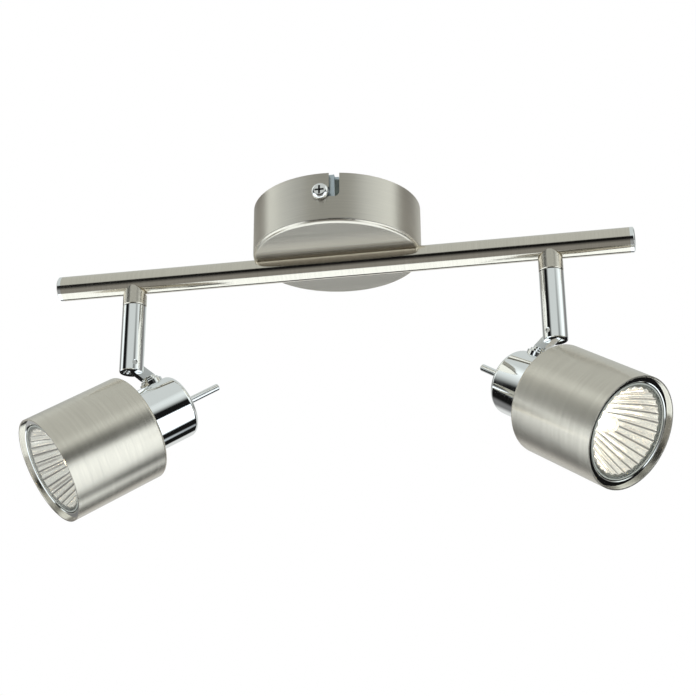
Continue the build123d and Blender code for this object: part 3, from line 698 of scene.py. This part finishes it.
class TWINSPOT_OT_lamp_capsules(bpy.types.Operator):
    """Make each lamp's quartz capsule, its coiled filament and the ceramic base"""
    bl_idname = "twin_spot.lamp_capsules"
    bl_label = "Lamp capsules"

    def execute(self, context):
        look = settings()
        # The quartz capsule's painted glow stands in for the lit filament shining through it.
        quartz = clear_glass("quartz_capsule", (1.0, 0.985, 0.95), roughness=0.02, painted_glow=0.15)
        hot, tree, shader = new_material("hot_tungsten")
        streak = noise_on(tree, Matrix.Identity(4), (0.001, 0.001, 0.001))
        tree.links.new(tinted(tree, streak, (1.0, 0.78, 0.5), (1.0, 0.9, 0.72)),
                       shader.inputs["Base Color"])
        shader.inputs["Roughness"].default_value = 0.5
        shader.inputs["Emission Color"].default_value = (1.0, 0.86, 0.66, 1)
        shader.inputs["Emission Strength"].default_value = 6.0
        clay = plain_finish("steatite", tuple(look.ceramic), 0.5)
        coil = filament_tree()
        for side in SIDES:
            place = lamp_frame(side)
            rear, front, radius = reach(f"lamp_capsule_{side}", place)
            wall = CAPSULE_WALL
            neck = front - radius
            outer = [(neck + radius * sin(a), radius * cos(a)) for a in
                     (pi / 2 * k / 10 for k in range(11))]
            inner = [(neck + (radius - wall) * sin(a), (radius - wall) * cos(a)) for a in
                     (pi / 2 * k / 10 for k in range(10, -1, -1))]
            outline = [(rear, 0), (rear, radius * 0.7), (rear + CAPSULE_SHOULDER, radius)] + outer
            foot = rear + CAPSULE_FOOT
            cavity = inner + [(foot, radius - wall), (foot - 0.001, 0)]
            mesh = turned_mesh(f"capsule_{side}", outline + cavity, place, segments=40)
            piece = link_piece(f"capsule_{side}", mesh, f"lamp_{side}", quartz)
            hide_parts(f"lamp_capsule_{side}")
            length = (neck - foot) * 0.8
            start = place @ Matrix.Translation((rear + FILAMENT_START, 0, 0))
            wire = grown_mesh(f"filament_{side}", coil, {
                "Turns": look.filament_turns, "Coil Radius": radius * 0.22, "Length": length,
                "Wire Radius": look.filament_wire, "Material": hot}, start)
            link_piece(f"filament_{side}", wire, f"lamp_{side}", hot)
            finish_nodes([f"lamp_base_{side}", f"lamp_holder_{side}"], clay)
        return {"FINISHED"}


# ---- stage ----

CAMERA_PLACE = (0.1361, -0.7036, -0.3649)
CAMERA_FORWARD = (-0.16971, 0.91475, 0.36666)
CAMERA_ROLL = -0.5
CAMERA_LENS = 73.1
SENSOR_WIDTH = 36
FLOOR_REACH = 6.0
FLOOR_DROP = 1.6
SOFT_LIGHTS = (("soft_left", (-0.9, -0.9, -0.9), 6.0), ("soft_right", (1.0, -0.8, -0.7), 5.0))
SOFT_SIZE = 0.8
SOFT_AIM = (0, 0, -0.09)


def surroundings():
    """Studio light by direction: a grey dome, white boxes at the sides and a white table.

    Each list runs round the X axis in degrees: 0 is the horizon in front, 90 is straight up,
    -90 straight down and 180 the horizon behind. One list serves the middle and one each side.
    """
    world = bpy.data.worlds.new("studio")
    bpy.context.scene.world = world
    world.use_nodes = True
    tree = world.node_tree
    tree.nodes.clear()
    output = tree.nodes.new("ShaderNodeOutputWorld")
    coords = tree.nodes.new("ShaderNodeTexCoord")
    way = add_node(tree, "ShaderNodeSeparateXYZ", [(0, coords.outputs["Generated"])])
    toward = math_node(tree, "MULTIPLY", way.outputs[1], -1.0)
    angle = math_node(tree, "ARCTAN2", way.outputs[2], toward)
    turn = math_node(tree, "MULTIPLY_ADD", angle, 1 / (2 * pi), 0.5)
    grey = (0.62, 0.655, 0.645)
    white = (1.42, 1.53, 1.60)
    bright = (1.05, 1.12, 1.12)
    black = (0.008, 0.008, 0.008)
    dim = (0.30, 0.30, 0.29)
    shade = (0.20, 0.20, 0.20)
    haze = (0.72, 0.73, 0.72)
    bands = {
        "centre": [(-180, haze), (-163, haze), (-160, black), (-146, black), (-141, white),
                   (-72, white), (-67, dim), (-35, dim), (-10, black), (9, black), (15, grey),
                   (160, grey), (175, haze)],
        "left": [(-180, haze), (-172, shade), (-157, shade), (-152, black), (-138, black),
                 (-132, white), (4, white), (9, black), (46, black), (55, grey), (66, bright),
                 (98, bright), (112, grey), (128, dim), (155, dim), (175, haze)],
        "right": [(-180, haze), (-165, haze), (-160, black), (-122, black), (-116, white),
                  (-4, white), (0, black), (24, black), (34, grey), (52, bright), (96, bright),
                  (110, grey), (128, dim), (152, shade), (175, haze)],
    }
    ramps = {}
    for name, stops in bands.items():
        ramp = add_node(tree, "ShaderNodeValToRGB", [("Fac", turn)])
        elements = ramp.color_ramp.elements
        elements[0].position = 0.0
        elements[0].color = (*stops[0][1], 1)
        elements.remove(elements[1])
        for degrees, colour in stops[1:]:
            element = elements.new(degrees / 360 + 0.5)
            element.color = (*colour, 1)
        ramps[name] = ramp.outputs["Color"]
    to_right = spread(tree, way.outputs[0], 0.0, 1.0, start=0.42, end=0.62)
    to_left = spread(tree, way.outputs[0], 1.0, 0.0, start=-0.62, end=-0.42)
    first = add_node(tree, "ShaderNodeMix",
                     [(0, to_right), (6, ramps["centre"]), (7, ramps["right"])], data_type="RGBA")
    second = add_node(tree, "ShaderNodeMix",
                      [(0, to_left), (6, first.outputs[2]), (7, ramps["left"])], data_type="RGBA")
    lit = add_node(tree, "ShaderNodeBackground", [("Color", second.outputs[2])])
    plain = add_node(tree, "ShaderNodeBackground", [("Color", (1, 1, 1, 1))])
    rays = tree.nodes.new("ShaderNodeLightPath")
    chosen = add_node(tree, "ShaderNodeMixShader", [
        (0, rays.outputs["Is Camera Ray"]), (1, lit.outputs[0]), (2, plain.outputs[0])])
    tree.links.new(chosen.outputs[0], output.inputs["Surface"])


class TWINSPOT_OT_stage(bpy.types.Operator):
    """Set up the camera, the soft studio surroundings and the pale floor"""
    bl_idname = "twin_spot.stage"
    bl_label = "Stage"

    def execute(self, context):
        scene = context.scene
        scene.view_settings.view_transform = "Standard"
        camera_data = bpy.data.cameras.new("camera")
        camera_data.lens = CAMERA_LENS
        camera_data.sensor_width = SENSOR_WIDTH
        camera = bpy.data.objects.new("camera", camera_data)
        scene.collection.objects.link(camera)
        forward = Vector(CAMERA_FORWARD).normalized()
        right = forward.cross(Z_AXIS).normalized()
        up = right.cross(forward)
        tilt = radians(CAMERA_ROLL)
        across = right * cos(tilt) + up * sin(tilt)
        upward = up * cos(tilt) - right * sin(tilt)
        basis = Matrix((across, upward, -forward)).transposed().to_4x4()
        basis.translation = Vector(CAMERA_PLACE)
        camera.matrix_world = basis
        scene.camera = camera

        pale, tree, shader = new_material("pale_floor")
        mottle = noise_on(tree, Matrix.Identity(4), (0.4, 0.4, 0.4))
        tree.links.new(tinted(tree, mottle, (0.86, 0.86, 0.86), (0.9, 0.9, 0.9)),
                       shader.inputs["Base Color"])
        shader.inputs["Roughness"].default_value = 0.9
        floor_mesh = bpy.data.meshes.new("floor")
        below = cad_low.z - FLOOR_DROP
        corners = [(-FLOOR_REACH, -FLOOR_REACH, below), (FLOOR_REACH, -FLOOR_REACH, below),
                   (FLOOR_REACH, FLOOR_REACH, below), (-FLOOR_REACH, FLOOR_REACH, below)]
        floor_mesh.from_pydata(corners, [], [(0, 1, 2, 3)])
        floor_mesh.materials.append(pale)
        floor = bpy.data.objects.new("floor", floor_mesh)
        scene.collection.objects.link(floor)
        floor.visible_glossy = False
        surroundings()

        for name, place, power in SOFT_LIGHTS:
            lamp_data = bpy.data.lights.new(name, "AREA")
            lamp_data.size = SOFT_SIZE
            lamp_data.energy = power
            lamp = bpy.data.objects.new(name, lamp_data)
            lamp.visible_glossy = False
            scene.collection.objects.link(lamp)
            aim = (Vector(SOFT_AIM) - Vector(place)).to_track_quat("-Z", "Y")
            lamp.matrix_world = Matrix.Translation(place) @ aim.to_matrix().to_4x4()
        return {"FINISHED"}


class TWINSPOT_PT_panel(bpy.types.Panel):
    """The twin spot bar's settings and pieces"""
    bl_idname = "TWINSPOT_PT_panel"
    bl_label = "Twin Spot Bar"
    bl_space_type = "VIEW_3D"
    bl_region_type = "UI"
    bl_category = "Twin Spot"

    def draw(self, context):
        look = settings()
        for name in look.bl_rna.properties.keys():
            if name not in ("rna_type", "name"):
                self.layout.prop(look, name)
        for operator in OPERATORS:
            self.layout.operator(operator.bl_idname)


OPERATORS = (TWINSPOT_OT_stage, TWINSPOT_OT_canopy_and_bar, TWINSPOT_OT_fixings, TWINSPOT_OT_stems,
             TWINSPOT_OT_heads, TWINSPOT_OT_lamp_mirrors, TWINSPOT_OT_lamp_capsules)
CLASSES = (TwinSpotSettings, *OPERATORS, TWINSPOT_PT_panel)


def register():
    for cls in CLASSES:
        bpy.utils.register_class(cls)
    bpy.types.Scene.twin_spot = bpy.props.PointerProperty(type=TwinSpotSettings)


def unregister():
    del bpy.types.Scene.twin_spot
    for cls in reversed(CLASSES):
        bpy.utils.unregister_class(cls)


def main():
    register()
    bpy.ops.twin_spot.stage()
    bpy.ops.twin_spot.canopy_and_bar()
    bpy.ops.twin_spot.fixings()
    bpy.ops.twin_spot.stems()
    bpy.ops.twin_spot.heads()
    bpy.ops.twin_spot.lamp_mirrors()
    bpy.ops.twin_spot.lamp_capsules()


if __name__ == "__main__":
    main()
